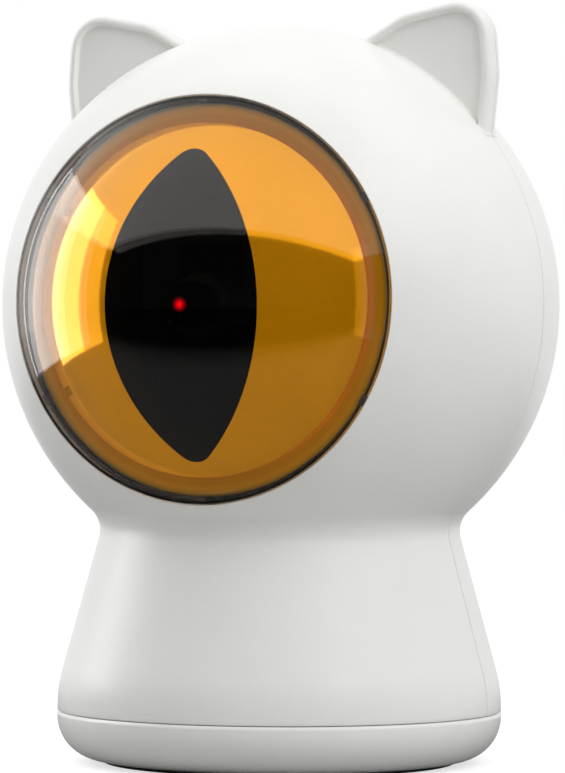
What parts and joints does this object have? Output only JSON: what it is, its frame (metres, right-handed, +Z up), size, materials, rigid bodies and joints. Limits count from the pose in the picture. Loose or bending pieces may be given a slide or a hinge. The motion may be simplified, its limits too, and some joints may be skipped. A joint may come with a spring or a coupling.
{
  "type": "automatic cat laser toy",
  "caption": "Round cat-eared head on a flared base, with an amber domed eye; a laser pans and tilts behind its pupil.",
  "frame": {"origin": "on the ground under the middle of the base", "axes": "+Z up, the eye looks along -Y, +X to the right of someone who faces the eye"},
  "size_m": [0.08, 0.08, 0.1081],
  "materials": {
    "casing": "smooth satin-gloss white ABS",
    "rubber": "matt anti-slip rubber",
    "steel": "plated steel",
    "clear_dome": "polished clear polycarbonate",
    "amber_mirror": "amber mirror coat that fades to black at the flange",
    "dark_window": "polished dark window",
    "black_plastic": "fine matt black",
    "grey_plastic": "fine matt grey",
    "nylon": "natural moulded gear plastic",
    "brass": "turned brass",
    "laser_glass": "small glowing red lens",
    "cell_sleeve": "plain printed sleeve without words",
    "circuit_board": "green solder mask",
    "chip_black": "black mould compound"
  },
  "bodies": {
    "casing": {"front_shell": "casing", "rear_shell": "casing", "base_cap": "casing", "foot_ring": "rubber", "base_screws": "steel", "shell_screws": "steel", "lens_dome": "clear_dome", "iris_dome": "amber_mirror", "pupil_window": "dark_window", "lens_retainer": "black_plastic", "retainer_screws": "steel", "chassis": "grey_plastic", "chassis_screws": "steel", "pan_motor": "steel", "motor_screws": "steel", "pan_pin": "steel", "pan_ring": "steel", "battery_holder": "black_plastic", "battery_cells": "cell_sleeve", "top_contacts": "steel", "holder_screws": "steel", "main_board": "circuit_board", "board_parts": "chip_black", "board_screws": "steel", "switch_board": "circuit_board", "switch_board_screws": "steel", "switch_body": "steel", "supply_inlet": "steel"},
    "pan_gear": {"pan_shaft": "steel", "pan_pinion": "nylon"},
    "yoke": {"pan_yoke": "nylon", "tilt_motor": "steel"},
    "tilt_gear": {"tilt_shaft": "steel", "tilt_pinion": "nylon"},
    "cradle": {"tilt_cradle": "nylon", "laser_barrel": "brass", "laser_lens": "laser_glass", "laser_diode": "steel"},
    "button": {"power_button": "grey_plastic", "switch_plunger": "black_plastic"},
    "door": {"battery_door": "casing", "door_contacts": "steel"}
  },
  "joints": [
    {"name": "laser_pan", "type": "hinge", "parent": "casing", "child": "yoke", "pos_m": [0, -0.024, 0.0647], "axis": [0, 0, 1], "range_deg": [-25, 25]},
    {"name": "pan_drive", "type": "hinge", "parent": "casing", "child": "pan_gear", "pos_m": [0, -0.00895, 0.0647], "axis": [0, 0, 1], "range_deg": [-100, 100]},
    {"name": "laser_tilt", "type": "hinge", "parent": "yoke", "child": "cradle", "pos_m": [0, -0.024, 0.0647], "axis": [1, 0, 0], "range_deg": [-10, 30]},
    {"name": "tilt_drive", "type": "hinge", "parent": "yoke", "child": "tilt_gear", "pos_m": [0, -0.01195, 0.0647], "axis": [1, 0, 0], "range_deg": [-90, 30]},
    {"name": "button_press", "type": "slide", "parent": "casing", "child": "button", "axis": [0, -0.9646, -0.2639], "range_m": [0, 0.0005], "stiffness_N_per_m": 600},
    {"name": "door_swing", "type": "hinge", "parent": "casing", "child": "door", "pos_m": [0, 0.0189, 0.002], "axis": [1, 0, 0], "range_deg": [0, 75]}
  ],
  "couplings": [
    {"joint": "pan_drive", "follows": "laser_pan", "ratio": -4},
    {"joint": "tilt_drive", "follows": "laser_tilt", "ratio": -3}
  ]
}
